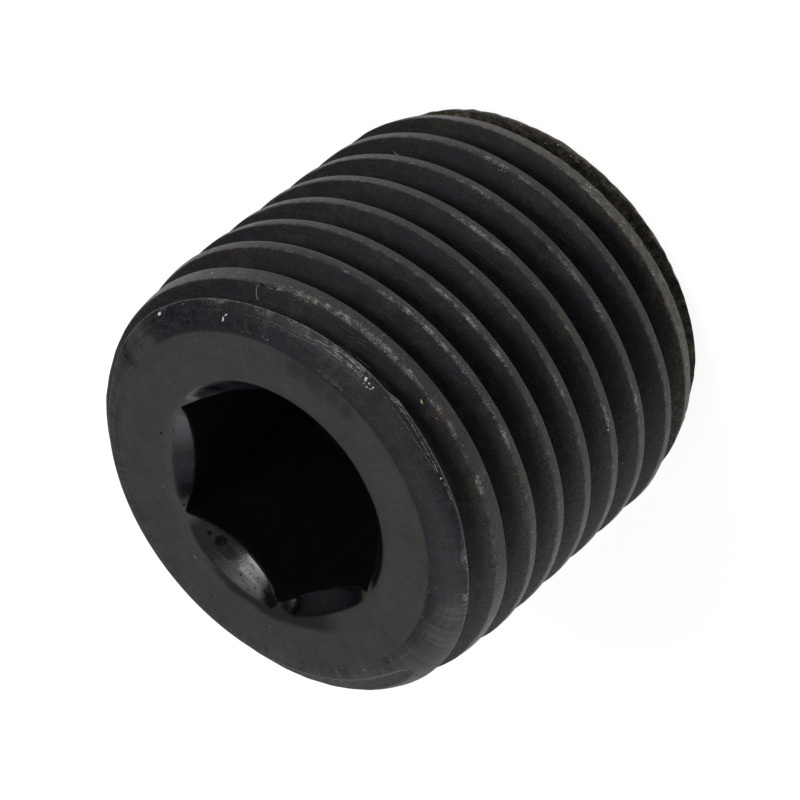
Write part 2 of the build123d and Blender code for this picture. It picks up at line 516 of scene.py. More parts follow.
def lay_groove(form, rows, cut):
    """Trailing corner, upper wall, root and lower wall. Returns the lip that they end in."""
    is_open, middle = cut.is_open, cut.middle
    rise = math.sin(form.flank_angle)  # height for each millimetre along the flank

    def on_groove(z, r):
        """The groove's surface at height z, or the empty row at radius r."""
        return np.where(is_open, form.groove(z, middle, cut.back, cut.sunk), r)

    u_r, u_z = form.at(cut.t_upper)
    wall_z = np.maximum(u_z - cut.far * rise, cut.lower)
    wall = np.stack([on_groove(wall_z, u_r), np.where(is_open, wall_z, u_z)], -1)
    crest_end = np.stack(form.at(cut.t_upper - cut.far_on), -1)
    rows.lay(
        curve_between(crest_end, np.stack([u_r, u_z], -1), wall, 3), SKIN,
        edge=-cut.width, trail=np.where(is_open, 0.0, FAR), head=cut.head,
    )
    l_r, l_z = form.at(cut.t_lower)
    foot_z = np.where(is_open, np.minimum(l_z + cut.dip * rise, wall[:, 1]), l_z)
    root = 0.12  # half the height that the rows of the root are gathered in
    root_top = np.clip(middle + root + cut.back, foot_z, wall[:, 1])
    root_foot = np.clip(middle - root, foot_z, wall[:, 1])
    z = np.concatenate([
        wall[:, 1:] + (root_top - wall[:, 1])[:, None] * (0.0, 0.33, 0.66),
        root_top[:, None] + (root_foot - root_top)[:, None] * np.linspace(0, 1, 6),
        root_foot[:, None] + (foot_z - root_foot)[:, None] * (0.2, 0.4, 0.6, 0.8, 1.0),
    ], axis=1)
    r = form.groove(z, middle[:, None], cut.back[:, None], cut.sunk[:, None])
    opened = is_open[:, None]
    r, z = np.where(opened, r, l_r[:, None]), np.where(opened, z, l_z[:, None])
    deep = np.clip((form.crest_radius(z) - r) / form.thread_depth, 0.0, 1.0)
    rows.add(
        r, z, SKIN, head=np.where(is_open, 0.0, cut.head), depth=np.where(opened, deep, 0.0),
        edge=np.where((z <= middle[:, None]) | ~opened, (z - l_z[:, None]) / rise, FAR),
    )
    return Kept(
        t=cut.t_lower, lead=cut.near, flank=np.stack([on_groove(foot_z, l_r), foot_z], -1),
        edge=np.stack([l_r, l_z], -1), dip=np.where(is_open, cut.dip, 0.0),
        shift=np.where(is_open, cut.broader, 0.0),
    )


def lay_thread(form, rows):
    """The shoulder, and every turn of crest and groove down past the foot."""
    rim = np.zeros(rows.psi.size)
    lip = Kept(t=rim, lead=rim, shift=rim)
    for m in range(FIRST_TURN, LAST_TURN + 1):
        cut = cut_groove(form, rows.psi, rows.psi - 360.0 * m)
        cut.width = np.maximum(cut.t_upper - lip.t, 0.0)
        cut.far_on = np.minimum(cut.far, TRAIL_SHARE * cut.width)
        lay_crest(form, rows, m, lip, cut)
        lip = lay_groove(form, rows, cut)


def end_at_foot(rows):
    """Cuts every column at the foot's plane and closes it to the axis."""
    n = rows.psi.size
    first = np.argmax(rows.points[..., 1] < 0.0, axis=1)
    index = np.arange(n)
    a, b = rows.points[index, first - 1], rows.points[index, first]
    end = a + (b - a) * (a[:, 1] / (a[:, 1] - b[:, 1]))[:, None]
    end[:, 1] = 0.0
    late = np.arange(rows.points.shape[1])[None, :] >= first[:, None]
    rows.points = np.where(late[..., None], end[:, None, :], rows.points)
    shares = np.array([0.97, 0.8, 0.4, 0.0])
    disc = np.stack([end[:, :1] * shares, np.zeros((n, shares.size))], -1)
    rows.points = np.concatenate([rows.points, disc], axis=1)
    for key, blank in NOTES.items():
        rows.noted[key] = np.concatenate([rows.noted[key], np.full((n, shares.size), blank)], axis=1)
    rows.kinds += [FOOT] * shares.size


def wear_down(form, rows):
    """Takes the cut surfaces down unevenly: a little everywhere, more on the scaly foot."""
    spots = rows.spots()
    z, psi = spots[..., 2], rows.psi[:, None] % 360.0
    outside = rows.points[..., 0] > 4.6
    clear = within(z, 0.0, 0.05, form.plug_length - 0.12, form.plug_length) * outside
    low = 0.5 + 0.5 * ripple(spots, 1.7, 31)
    on_foot = smooth(-z, -1.25, -0.85) * (rows.noted["depth"] < 0.35)
    scale = smooth(ripple(spots, 0.45, 32), -0.5, 0.9) * on_foot
    first, others = (
        within(z, *heights) * within(psi, *turns) for heights, turns in (FIRST_SWELL, CREST_SWELL)
    )
    swell = form.first_swell * first + form.crest_swell * others
    rows.points[..., 0] += clear * (swell - form.flank_wave * low - form.foot_rough * scale)


def plug_mesh(form):
    """The whole plug as one closed skin."""
    rows = Rows(column_angles())
    lay_socket(form, rows)
    lay_thread(form, rows)
    rows.join()
    wear_down(form, rows)
    end_at_foot(rows)
    n, count = rows.points.shape[:2]
    mesh = bpy.data.meshes.new("plug_body")
    index = np.arange(n * count).reshape(n, count)
    quads = np.stack([index[:-1, :-1], index[1:, :-1], index[1:, 1:], index[:-1, 1:]], -1).reshape(-1, 4)
    mesh.from_pydata((rows.spots().reshape(-1, 3) * MM).tolist(), [], quads.tolist())
    mesh.polygons.foreach_set("material_index", np.tile(np.array(rows.kinds[1:], np.int32), n - 1))
    for key, value in rows.noted.items():
        note(mesh, key, value)
    work = bmesh.new()
    work.from_mesh(mesh)
    bmesh.ops.remove_doubles(work, verts=work.verts, dist=2e-7)
    bmesh.ops.dissolve_degenerate(work, dist=1e-8, edges=work.edges)
    finish_mesh(work, mesh, True)
    mesh.set_sharp_from_angle(angle=math.radians(42))
    return mesh


def finish_mesh(work, mesh, is_smooth=False):
    """Turns the faces outwards and hands them to the mesh."""
    bmesh.ops.recalc_face_normals(work, faces=work.faces)
    for face in work.faces:
        face.smooth = is_smooth
    work.to_mesh(mesh)
    work.free()


# ---- sight lines ----

AIM = Vector((-0.0914, 0.0120, 6.2192))  # what the camera looks at, in millimetres
SENSOR, FRAME = 36.0, 800.0  # width of the sensor in millimetres, and of the frame in pixels


def camera_axes(studio):
    """Right, up and back of the camera."""
    a, e, roll = studio.azimuth, studio.elevation, studio.roll
    back = Vector((math.sin(a) * math.cos(e), -math.cos(a) * math.cos(e), math.sin(e)))
    level = Vector((0, 0, 1)).cross(back).normalized()
    right = level * math.cos(roll) + back.cross(level) * math.sin(roll)
    return right, back.cross(right), back


class Sight:
    """Finds what lies on the skin behind a point of the frame, in millimetres."""

    def __init__(self, studio, mesh):
        self.right, self.up, self.back = camera_axes(studio)
        self.eye = AIM + self.back * (studio.distance / MM)
        self.focal = FRAME * studio.lens / MM / SENSOR
        corners = [vertex.co / MM for vertex in mesh.vertices]
        self.tree = BVHTree.FromPolygons(corners, [tuple(face.vertices) for face in mesh.polygons])

    def at(self, x, y):
        """Place and outward direction of the skin behind frame point x, y."""
        way = self.right * (x - FRAME / 2) - self.up * (y - FRAME / 2) - self.back * self.focal
        place, normal, _, _ = self.tree.ray_cast(self.eye, way.normalized())
        if place is None:
            raise ValueError(f"nothing of the plug lies behind {x}, {y}")
        return place, normal


# ---- marks: their places, sizes and widths are in pixels of the frame ----

PIXELS = 36.1  # to the millimetre, at the face
PALE_SIDE = (560, 533)  # middle of the side where the flanks are painted paler towards their crests and the crests darker: painted light and shade
STAINED_LIP = (272, 614)  # middle of the stain round the countersink
# Limits of finishes on the skin, in millimetres: the flat face's radius, the stain's radii and the
# height that the foot's scale reaches
FACE_EDGE, STAIN_RADII, SCALE_EDGE = (5.44, 5.30), (3.74, 4.06), (1.55, 0.95)

# Dark spots: x, y and radius
DARK_SPOTS = (
    (220, 541, 6.0), (209, 533, 3.0), (271, 600, 9.0), (292, 604, 12.0), (252, 565, 1.2), (254, 568, 1.0),
    (241, 575, 1.2), (258, 578, 1.2), (255, 588, 1.4), (184, 505, 1.6), (188, 322, 2.0), (262, 285, 2.0),
    (246, 570, 1.0), (250, 574, 1.0), (243, 581, 1.0), (248, 590, 1.2), (238, 566, 1.0), (206, 430, 1.4),
    (161, 433, 1.6),
)
# Scratches: width, then points along each
DARK_SCRATCHES = (
    (1.5, (227, 562), (232, 569), (238, 577)), (1.8, (172, 427), (174, 434)),
    (2.6, (404, 499), (411, 505), (418, 513)), (1.5, (555, 438), (565, 440.5), (575, 437)),
    (1.8, (368, 385), (374, 394), (381, 397)), (1.2, (338, 348), (348, 356), (356, 364), (367, 374)),
    (1.0, (342, 346), (352, 353), (362, 362), (371, 371)),
    (1.3, (387, 399), (399, 415), (411, 435), (423, 455)),
)
BRIGHT_SCRATCHES = (
    (1.1, (300, 333), (318, 341), (338, 352)), (0.9, (330, 346), (347, 356), (366, 371)),
    (0.8, (338, 345), (354, 355), (372, 370)), (2.4, (334, 352), (346, 361), (361, 374)),
    (1.8, (344, 362), (354, 370), (362, 378)), (1.2, (340, 351), (352, 361), (364, 373)),
    (1.0, (347, 353), (359, 363), (370, 374)), (1.0, (324, 349), (334, 355), (343, 362)),
    (0.9, (388, 394), (400, 408), (411, 423), (421, 441), (431, 458), (438, 472)),
    (1.2, (495, 168), (503, 172), (509, 171)), (1.2, (267, 287), (276, 290), (286, 291)),
    (1.2, (294, 296), (302, 300), (309, 302)), (1.3, (583, 182), (590, 188), (598, 193)),
    (1.2, (446, 488), (449, 493), (451, 500)),
)
FAINT_SCRATCHES = (
    (1.5, (384, 396), (395, 410), (405, 424), (415, 440), (427, 458), (437, 474)),
    (0.8, (218, 330), (220.5, 346), (222, 360), (226, 368)),
    (1.2, (245, 314), (270, 322), (294, 332), (320, 344)),
    (1.6, (262, 322), (294, 335), (320, 347)), (2.2, (322, 375), (334, 384), (345, 393)),
    (1.4, (318, 370), (330, 378), (343, 390)), (0.9, (430, 647), (440, 643), (448, 640)),
    (0.9, (538, 283), (541, 287), (540, 291)), (0.8, (499, 438), (507, 441), (513, 445)),
    (0.8, (510, 436), (507, 442), (505, 448)), (1.2, (405, 500), (412, 507), (418, 515)),
    (1.0, (427, 557), (427.5, 566)), (1.4, (428, 582), (425, 592)), (1.2, (424, 588), (421, 594)),
    (1.0, (461, 530), (462, 545), (461, 562)), (1.4, (183, 553), (190, 560)),
    (0.9, (476, 250), (490, 262), (505, 276)), (1.0, (462, 222), (480, 236), (498, 252)),
    (0.8, (548, 230), (560, 236), (571, 246)), (1.0, (536, 283), (541, 290), (547, 296)),
    (0.9, (350, 336), (362, 344), (372, 352)), (0.9, (341, 326), (352, 333), (366, 343)),
    (0.9, (240, 332), (247, 331), (252, 336)), (1.2, (262, 334), (266, 341)),
)
# Wide soft patches, as x, y and reach, that the skin notes at each of its points: worn, where bare steel
# shows along the nearest edge; olive, where oil has dried; violet, where the finish is bluer; sooty,
# where it is dirty; and the last kind, where the shoulder is painted as pale as the face along the outline,
# painted light that stands in for its lit side
PATCHES = {
    "worn": (
        (345, 313, 20), (362, 322, 24), (378, 338, 20), (393, 353, 14), (408, 374, 9), (432, 404, 9),
        (452, 434, 9), (290, 292, 22), (318, 302, 16), (262, 318, 16), (300, 332, 20), (335, 350, 20),
        (360, 372, 18), (396, 406, 12), (425, 455, 12), (318, 370, 9), (334, 381, 10), (350, 396, 9),
        (462, 560, 14), (460, 600, 16), (400, 305, 24), (430, 340, 26), (460, 370, 22), (485, 405, 22),
        (500, 440, 18), (445, 290, 20), (475, 320, 22), (500, 355, 18), (470, 230, 26), (495, 260, 26),
        (520, 290, 20), (480, 185, 22), (510, 195, 22), (545, 225, 22), (500, 160, 18), (590, 190, 18),
        (610, 215, 16), (565, 275, 20), (600, 310, 14), (640, 400, 16), (600, 420, 18), (560, 380, 16),
        (480, 480, 16), (160, 320, 16), (215, 305, 18),
    ),
    "olive": (
        (312, 372, 12), (334, 386, 10), (352, 400, 10), (300, 303, 18), (326, 318, 16), (352, 340, 16),
        (322, 372, 22), (345, 392, 20), (372, 402, 18), (392, 425, 16), (412, 470, 18), (424, 500, 14),
        (430, 520, 12), (388, 305, 14), (470, 480, 22), (480, 520, 18), (474, 500, 14), (505, 440, 20),
        (520, 470, 22), (440, 410, 22), (468, 440, 18), (385, 270, 20), (410, 290, 20), (470, 290, 22),
        (500, 320, 20), (515, 180, 20), (545, 200, 20), (585, 235, 20), (560, 160, 26), (600, 195, 26),
        (640, 240, 26), (630, 300, 16), (555, 330, 20), (620, 380, 18), (610, 440, 24), (570, 430, 22),
        (330, 215, 24), (290, 240, 20), (240, 255, 20), (445, 130, 22), (520, 130, 20), (275, 620, 16),
        (250, 605, 16), (560, 260, 20), (380, 200, 20), (480, 610, 22), (460, 650, 16), (540, 560, 22),
        (610, 480, 20), (180, 470, 22), (240, 345, 14),
    ),
    "violet": (
        (203, 393, 16), (175, 320, 22), (205, 318, 22), (240, 328, 22), (270, 340, 16), (430, 440, 18),
        (440, 480, 18), (442, 530, 24), (445, 560, 20), (190, 430, 22), (190, 470, 16), (410, 405, 14),
        (335, 330, 18), (480, 560, 16), (520, 400, 26), (545, 350, 20), (600, 350, 24), (640, 330, 22),
        (300, 265, 22), (350, 275, 20), (405, 235, 20), (440, 250, 20), (560, 480, 22), (520, 530, 20),
        (580, 300, 20), (450, 165, 20), (600, 260, 16), (645, 280, 14), (670, 340, 22),
    ),
    "sooty": (
        (318, 384, 16), (332, 396, 14), (296, 368, 14), (345, 410, 12), (360, 300, 10), (352, 335, 12),
        (366, 350, 12), (545, 240, 14), (530, 300, 12), (430, 270, 12), (400, 320, 12), (480, 395, 12),
        (310, 376, 14), (376, 398, 12),
    ),
    "dull": (
        (140, 345, 30), (118, 390, 50), (114, 440, 50), (124, 490, 50), (156, 545, 50), (190, 588, 50),
        (228, 622, 46), (276, 654, 46), (322, 674, 44), (370, 678, 40), (412, 664, 34), (440, 640, 26),
        (454, 615, 20),
    ),
}
# Bright chips and grey specks: x, y, length, width and slant in degrees. The first bright chip is a painted
# highlight where the shoulder's rim meets the outline.
WHITE_CHIPS_AND_HIGHLIGHT = (
    (159, 314, 5.5, 4.2, 60), (223, 319, 8, 2.8, 68), (225.5, 315, 4, 2.4, 40), (366, 379, 5.4, 4.2, 70),
    (369, 383.5, 3.6, 2.6, -50), (373, 388, 4.6, 2.2, 60), (370.5, 389, 3.4, 1.6, -20),
    (366.5, 387, 3, 1.8, 0), (364, 383.5, 2.2, 1.4, 20), (362, 375, 2.4, 1.4, -45),
    (441, 478.5, 2.6, 1.8, -55), (608, 430, 2.6, 2.2, 20), (590, 187, 2.4, 1.2, -35),
    (278, 289, 2.6, 1.2, -5), (436.7, 418.3, 1.6, 1.4, 0), (212, 273, 1.6, 1.4, 0), (558, 145, 2.4, 1.6, -30),
)
GREY_SPECKS = (
    (182.5, 304, 3, 1.4, 10), (262, 337, 2.4, 1.4, 0), (267.5, 339.5, 2, 2.2, 30), (281, 289, 5, 1.2, -5),
    (462.5, 445.5, 3.2, 1.8, 70), (423.5, 388.5, 3, 1.2, -50), (445, 484.5, 6, 1.4, -50),
    (441, 413, 3.5, 1.2, -60), (163, 486.5, 1.8, 1.4, 0), (167, 471, 1.5, 1.3, 0), (156, 552, 1.5, 1.3, 0),
    (195, 557, 6, 1.6, -62), (215.6, 596, 1.6, 1.4, 0), (208, 590, 1.4, 1.2, 0), (270, 627, 1.6, 1.3, 0),
    (601, 405, 4, 1.2, -45), (622, 463, 2.6, 2, 0), (616, 461, 1.6, 1.2, 0), (636, 459, 2.4, 1.1, 30),
    (600, 311, 2, 1.5, 0), (583, 343, 1.8, 1.5, 0), (655, 341, 1.7, 1.5, 0), (628, 369, 1.8, 1.4, 0),
    (637, 245, 1.8, 1.6, 0), (587, 184, 3, 1.3, -35), (595, 190, 2.8, 1.2, -35), (610, 209, 3.5, 1.2, -50),
    (505, 152, 1.8, 1.6, 0), (502, 170, 2.2, 1.6, 0), (561, 475, 2.6, 1.4, 60), (422, 617, 1.8, 1.6, 0),
    (404, 640, 1.7, 1.4, 0), (410, 641, 1.5, 1.2, 0), (436, 588, 1.6, 1.4, 0), (183.5, 510, 2.6, 1.6, 40),
    (441, 545, 1.5, 1.4, 0), (429, 592, 3.2, 1.6, -60), (470, 597, 2.4, 1.4, 80), (342, 668, 1.2, 3, 0),
    (364, 670, 3, 1.4, 5), (391, 660, 2, 1.2, 0), (545, 143, 3, 1.6, -25), (571, 156, 3.4, 1.6, -35),
    (578, 162, 2.6, 1.4, -40),
)
# One chip of dried oil beside the second crest, the same way
AMBER_CHIPS = ((421.5, 402, 7, 2.8, -70),)
# Fibres: points along each
FIBRES = (((258.5, 284), (256.5, 289), (256.5, 295), (258.5, 301)), ((394, 151), (396, 154), (399, 155)))
CHIP_SIDES, FIBRE_SIDES = 7, 6
CHIP_RAGGED = 0.55, 1.30  # least and greatest reach of a chip's corners, as shares of its half size
CHIP_BED, CHIP_ROOT, CHIP_HEIGHT = 0.008, 0.03, 0.012  # sunk rim, underside and least height, in millimetres
CHIP_SWELL = 0.22  # further height, as a share of its width
FIBRE_RADIUS = 0.012  # in millimetres
# A scratch is laid in steps of so many pixels, strays by so many, and breaks at so many of its points
SCRATCH_STEP, SCRATCH_STRAY, SCRATCH_BREAKS = 1.5, 0.22, 0.16
SCRATCH_GAP = 0.2  # millimetres between two points that a scratch doesn't cross


def note_patches(mesh, sight):
    """Notes at every point of the skin how far each kind of patch reaches it, from 0 to 1."""
    spots = np.empty(len(mesh.vertices) * 3, np.float32)
    mesh.vertices.foreach_get("co", spots)
    spots = spots.reshape(-1, 3) / MM
    for kind, patches in PATCHES.items():
        total = np.zeros(len(spots))
        for x, y, reach in patches:
            away = np.linalg.norm(spots - np.array(sight.at(x, y)[0]), axis=1) * PIXELS / reach
            total = np.maximum(total, smooth(-away, -1.35, -0.35))
        note(mesh, kind, total)


def circle(sides):
    """Angles of the corners round a ring."""
    return [2 * math.pi * k / sides for k in range(sides)]


def neighbours(items, k):
    """The items before and after one, or the item itself at an end."""
    return items[max(k - 1, 0)], items[min(k + 1, len(items) - 1)]


def close_tube(work, rings):
    """Lays faces between rings of as many corners, and over both ends."""
    for one, two in zip(rings, rings[1:]):
        for j in range(len(one)):
            k = (j + 1) % len(one)
            work.faces.new((one[j], one[k], two[k], two[j]))
    work.faces.new(rings[0])
    work.faces.new(rings[-1])


def chip_mesh(sight, chips, name, seed):
    """Low ragged chips bedded in the skin, as closed meshes."""
    rng = np.random.default_rng(seed)
    work = bmesh.new()
    for x, y, length_px, width_px, slant in chips:
        a = math.radians(slant)
        place, normal = sight.at(x, y)
        rim = []
        for turned in circle(CHIP_SIDES):
            reach = rng.uniform(*CHIP_RAGGED)
            u, v = math.cos(turned) * length_px / 2 * reach, math.sin(turned) * width_px / 2 * reach
            spot, out = sight.at(x + u * math.cos(a) + v * math.sin(a), y - u * math.sin(a) + v * math.cos(a))
            if (spot - place).length > 1.2 * length_px / PIXELS + 0.05:
                # it fell past an edge of the skin
                spot, out = place + (spot - place) * 0.2, normal
            rim.append(work.verts.new((spot - out * CHIP_BED) * MM))
        top = work.verts.new((place + normal * (CHIP_HEIGHT + CHIP_SWELL * width_px / PIXELS)) * MM)
        low = work.verts.new((place - normal * CHIP_ROOT) * MM)
        for one, two in zip(rim, rim[1:] + rim[:1]):
            work.faces.new((one, two, top))
            work.faces.new((two, one, low))
    mesh = bpy.data.meshes.new(name)
    finish_mesh(work, mesh)
    return mesh


def fibre_mesh(sight, fibres, name):
    """Thin fibres lying on the skin, as closed tubes."""
    work = bmesh.new()
    for points in fibres:
        spots = []
        for (x0, y0), (x1, y1) in zip(points, points[1:]):
            for f in (0.0, 0.25, 0.5, 0.75):
                spots.append(sight.at(x0 + (x1 - x0) * f, y0 + (y1 - y0) * f))
        spots.append(sight.at(*points[-1]))
        places = [place + normal * FIBRE_RADIUS * 0.7 for place, normal in spots]
        rings = []
        for k, (place, (_, normal)) in enumerate(zip(places, spots)):
            before, after = neighbours(places, k)
            along = (after - before).normalized()
            across = along.cross(normal).normalized()
            out = across.cross(along)
            thick = FIBRE_RADIUS * (0.4 if k in (0, len(places) - 1) else 1.0)
            rings.append([
                work.verts.new((place + (across * math.cos(turned) + out * math.sin(turned)) * thick) * MM)
                for turned in circle(FIBRE_SIDES)
            ])
        close_tube(work, rings)
    mesh = bpy.data.meshes.new(name)
    finish_mesh(work, mesh, True)
    return mesh


def lay_strip(work, rng, spots, width):
    """One unbroken stretch of a scratch, as a closed sliver bedded in the skin."""
    if len(spots) < 2:
        return
    rings = []
    for k, (place, normal) in enumerate(spots):
        before, after = neighbours(spots, k)
        across = (after[0] - before[0]).normalized().cross(normal).normalized()
        end = k in (0, len(spots) - 1)
        half = width / PIXELS / 2 * rng.uniform(0.45, 1.15) * (0.35 if end else 1.0)
        rings.append([work.verts.new(corner * MM) for corner in (
            place + across * half - normal * 0.004, place + normal * 0.004,
            place - across * half - normal * 0.004, place - normal * 0.02,
        )])
    close_tube(work, rings)


def scratch_mesh(sight, scratches, name, seed):
    """Broken threads of metal bedded in the skin."""
    rng = np.random.default_rng(seed)
    work = bmesh.new()
    for width, *points in scratches:
        spots = []
        for (x0, y0), (x1, y1) in zip(points, points[1:]):
            steps = max(1, round(math.hypot(x1 - x0, y1 - y0) / SCRATCH_STEP))
            for k in range(steps):
                stray = rng.normal(size=2) * SCRATCH_STRAY
                x, y = x0 + (x1 - x0) * k / steps + stray[0], y0 + (y1 - y0) * k / steps + stray[1]
                spots.append(sight.at(x, y))
        spots.append(sight.at(*points[-1]))
        stretch = []
        for spot in spots:
            if stretch and ((spot[0] - stretch[-1][0]).length > SCRATCH_GAP or rng.random() < SCRATCH_BREAKS):
                lay_strip(work, rng, stretch, width)
                stretch = []
            stretch.append(spot)
        lay_strip(work, rng, stretch, width)
    mesh = bpy.data.meshes.new(name)
    finish_mesh(work, mesh)
    return mesh


# ---- materials ----


def overload(operation):
    """The plain and the reflected form of a Python operator, each adding one Math node."""
    def plain(wire, other):
        return wire.bench.maths(operation, wire, other)

    def reflected(wire, other):
        return wire.bench.maths(operation, other, wire)
    return plain, reflected


class Wire:
    """A value on its way through a material. Plain arithmetic on it adds Math nodes."""

    def __init__(self, bench, socket):
        self.bench, self.socket = bench, socket

    __add__, __radd__ = overload("ADD")
    __sub__, __rsub__ = overload("SUBTRACT")
    __mul__, __rmul__ = overload("MULTIPLY")
    __truediv__, __rtruediv__ = overload("DIVIDE")
    __pow__, __rpow__ = overload("POWER")


class Bench:
    """Lays out the nodes of one material or of the world."""

    def __init__(self, tree):
        self.tree = tree
        tree.nodes.clear()

    def node(self, kind, settings=None, values=None, out=0):
        """Adds one node: its settings first, then the values or wires of its sockets."""
        made = self.tree.nodes.new(kind)
        for key, value in (settings or {}).items():
            setattr(made, key, value)
        for key, value in (values or {}).items():
            if isinstance(value, Wire):
                self.tree.links.new(value.socket, made.inputs[key])
            else:
                made.inputs[key].default_value = value
        return Wire(self, made.outputs[out]) if made.outputs else None

    # maths
    def maths(self, operation, a, b):
        return self.node("ShaderNodeMath", {"operation": operation}, {0: a, 1: b})

    def least(self, a, b):
        return self.maths("MINIMUM", a, b)

    def most(self, a, b):
        return self.maths("MAXIMUM", a, b)

    def step(self, value, low, high):
        """0 below low and 1 above high, smoothly between; it falls where low is the greater."""
        return self.node(
            "ShaderNodeMapRange", {"interpolation_type": "SMOOTHSTEP"},
            {"Value": value, "From Min": low, "From Max": high, "To Min": 0.0, "To Max": 1.0},
        )

    def band(self, value, low, high, soft):
        """1 between low and high, fading over soft on each side."""
        return self.step(value, low - soft, low) * self.step(value, high + soft, high)

    # places
    def vectors(self, operation, a, b, socket=1, out=0):
        return self.node("ShaderNodeVectorMath", {"operation": operation}, {0: a, socket: b}, out)

    def note(self, name):
        """What the skin notes at each point."""
        return self.node("ShaderNodeAttribute", {"attribute_name": name}, out="Fac")

    def place(self):
        """Place in millimetres."""
        return self.shade(self.node("ShaderNodeTexCoord", out="Object"), 1 / MM)

    def parts(self, spot):
        """The three numbers of a vector."""
        outs = self.node("ShaderNodeSeparateXYZ", None, {0: spot}).socket.node.outputs
        return [Wire(self, out) for out in outs]

    def vector(self, x, y, z):
        return self.node("ShaderNodeCombineXYZ", None, {0: x, 1: y, 2: z})

    def noise(self, spot, scale, detail=3.0, roughness=0.55):
        return self.node(
            "ShaderNodeTexNoise", {"noise_dimensions": "3D"},
            {"Vector": spot, "Scale": scale, "Detail": detail, "Roughness": roughness},
        )

    def near(self, spot, place, reach, inner=0.0):
        """1 within inner of a place and 0 beyond reach, in millimetres."""
        return self.step(self.vectors("DISTANCE", spot, place, out="Value"), reach, inner)

    # colours
    def blend(self, amount, a, b):
        """Colour a where amount is 0, and colour b where it is 1."""
        a, b = (tone if isinstance(tone, Wire) else (*tone, 1.0) for tone in (a, b))
        mixed = {"data_type": "RGBA", "clamp_factor": True}
        return self.node("ShaderNodeMix", mixed, {0: amount, 6: a, 7: b}, 2)

    def shade(self, tone, by):
        """A colour made lighter or darker, or a vector longer or shorter, by a plain number."""
        return self.vectors("SCALE", tone, by, "Scale")


def finish_surface(bench, tone, roughness, metal, bump, strength=1.0, reach=0.02, ior=1.5):
    """The shader that every surface of the plug ends in."""
    relief = {"Height": bump, "Strength": strength, "Distance": reach * MM}
    normal = bench.node("ShaderNodeBump", None, relief)
    surface = bench.node(
        "ShaderNodeBsdfPrincipled", {"distribution": "MULTI_GGX"},
        {"Base Color": tone, "Roughness": roughness, "Metallic": metal, "Normal": normal, "IOR": ior},
    )
    bench.node("ShaderNodeOutputMaterial", None, {"Surface": surface})


def new_material(name):
    """A material and the bench that its nodes are laid out on."""
    material = bpy.data.materials.new(name)
    material.use_nodes = True
    return material, Bench(material.node_tree)


def skin_textures(b):
    """The skin's notes and its textures, each centred on nothing."""
    s = Kept(spot=b.place(), **{name: b.note(name) for name in (*NOTES, *PATCHES)})
    x, y, s.z = b.parts(s.spot)
    s.radius = (x * x + y * y) ** 0.5
    s.hue = b.noise(b.vectors("MULTIPLY", s.spot, (1.0, 1.0, 1.3)), 2.3, 3.0, 0.7) - 0.5
    for name, scale, detail, rough in (
        ("cloud", 0.9, 2.0, 0.55), ("mottle", 4.2, 3.0, 0.65), ("grain", 14.0, 3.0, 0.7),
        ("fine", 27.0, 2.0, 0.6), ("speck", 26.0, 2.0, 0.8),
    ):
        setattr(s, name, b.noise(s.spot, scale, detail, rough) - 0.5)
    # the marks of turning: along the flanks, across the shoulder, and round the face and countersink
    x, y = x / s.radius, y / s.radius
    lines = b.vector(x * 4.0 + s.z * 1.7, y * 4.0 - s.z * 1.3, s.edge * 20.0)
    reed = b.vector(x * 34.0, y * 34.0, s.radius * 0.8)
    ring = b.vector(x * 2.5, y * 2.5, s.radius * 13.0 - s.z * 9.0)
    s.lines, s.reed, s.ring = (b.noise(spot, 1.0, 2.0, 0.6) - 0.5 for spot in (lines, reed, ring))
    return s


def skin_regions(b, s, sight):
    """Where each finish, and the painted light and shade, lies on the skin, from 0 to 1."""
    s.thread = 1 - s.head
    flat = b.step(s.radius + s.grain * 0.10 + s.mottle * 0.14, *FACE_EDGE) * s.head
    # the face is pale, and along the outline the shoulder is painted as pale: painted light on its lit side
    s.pale = b.most(flat, s.dull * s.head)
    s.gloss = b.step(s.lens + s.cloud * 0.4 + s.mottle * 0.3, 0.18, 0.95)
    s.flat = flat * (1 - s.gloss)
    s.crest = b.step(s.edge + (s.grain * 0.9 + s.mottle * 0.6) * 0.14, 0.03, -0.05)
    s.beside = b.band(s.edge, 0.0, 0.14, 0.16) * s.thread
    s.foot = b.step(s.z + s.cloud * 0.4 + s.mottle * 0.3, *SCALE_EDGE)
    s.coarse = 1 - s.pale * (0.84 - s.gloss * 0.3)
    stained = b.near(s.spot, sight.at(*STAINED_LIP)[0], 2.9, 1.5)
    s.mouth = b.band(s.radius + s.cloud * 0.3, *STAIN_RADII, 0.26) * stained
    # on one side the flanks are painted paler towards the crests, which are painted as black as the groove:
    # painted light and shade that stand in for the shading of rounded crests
    side = b.near(s.spot, sight.at(*PALE_SIDE)[0], 5.6, 2.6)
    s.rubbed = s.crest * (1 - side * 0.7)
    s.chalky = b.step(s.edge + s.mottle * 0.3 + s.cloud * 0.2, 0.52, 0.04) * s.thread * (1 - s.crest) * side


